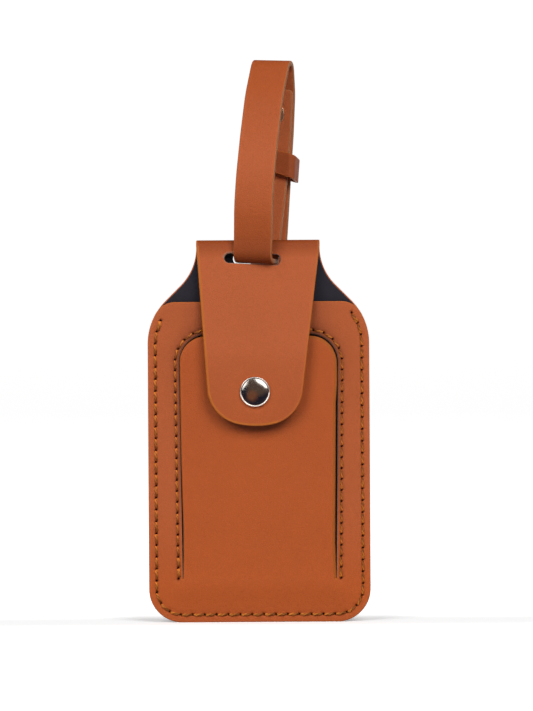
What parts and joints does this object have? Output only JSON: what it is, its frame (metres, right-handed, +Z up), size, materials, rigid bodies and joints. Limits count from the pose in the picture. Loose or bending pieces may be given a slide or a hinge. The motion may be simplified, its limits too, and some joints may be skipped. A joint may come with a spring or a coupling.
{
  "type": "luggage tag",
  "caption": "Leather luggage tag: a flat card pouch with a lifting tongue and window, a snap flap, and a looped strap with a keeper and its own snap.",
  "frame": {"origin": "inside of the top of the strap loop, where a bag handle bears", "axes": "+Z up along the hanging tag, -Y out of the front face, +X to the right seen from the front"},
  "size_m": [0.07, 0.0301, 0.1787],
  "materials": {
    "leather": "fine-grained tan leather with a satin finish",
    "lining": "black woven lining",
    "film": "clear soft film",
    "card": "plain off-white card",
    "snap_cap": "polished warm metal",
    "snap_inner": "plain plated metal"
  },
  "bodies": {
    "strap": {"strap": "leather", "strap_snap_cap": "snap_cap", "strap_snap_socket": "snap_inner", "strap_snap_stud": "snap_inner", "strap_snap_post": "snap_inner"},
    "keeper": {"keeper": "leather"},
    "pouch": {"back_panel": "leather", "back_lining": "lining", "front_panel": "leather", "front_lining": "lining", "window": "film"},
    "card": {"address_card": "card"},
    "flap": {"flap": "leather", "flap_lining": "lining", "flap_snap_cap": "snap_cap", "flap_snap_socket": "snap_inner"},
    "tongue": {"tongue": "leather", "tongue_lining": "lining", "tongue_snap_stud": "snap_inner", "tongue_snap_post": "snap_inner"}
  },
  "joints": [
    {"name": "pouch_swing", "type": "hinge", "parent": "strap", "child": "pouch", "pos_m": [-0.00542, -0.01079, -0.06232], "axis": [1, 0, 0], "range_deg": [-5, 5]},
    {"name": "flap_lift", "type": "hinge", "parent": "pouch", "child": "flap", "pos_m": [-0.00492, -0.01408, -0.06652], "axis": [-1, 0, 0], "range_deg": [0, 105]},
    {"name": "tongue_lift", "type": "hinge", "parent": "pouch", "child": "tongue", "pos_m": [-0.00492, -0.01294, -0.16267], "axis": [1, 0, 0], "range_deg": [0, 31.5]},
    {"name": "card_slide", "type": "slide", "parent": "pouch", "child": "card", "axis": [0, 0, 1], "range_m": [0, 0.018]},
    {"name": "keeper_slide", "type": "slide", "parent": "strap", "child": "keeper", "axis": [0.0734, 0.1185, 0.9902], "range_m": [0, 0.0035]}
  ],
  "couplings": [
    {"joint": "tongue_lift", "follows": "flap_lift", "ratio": 0.3}
  ]
}
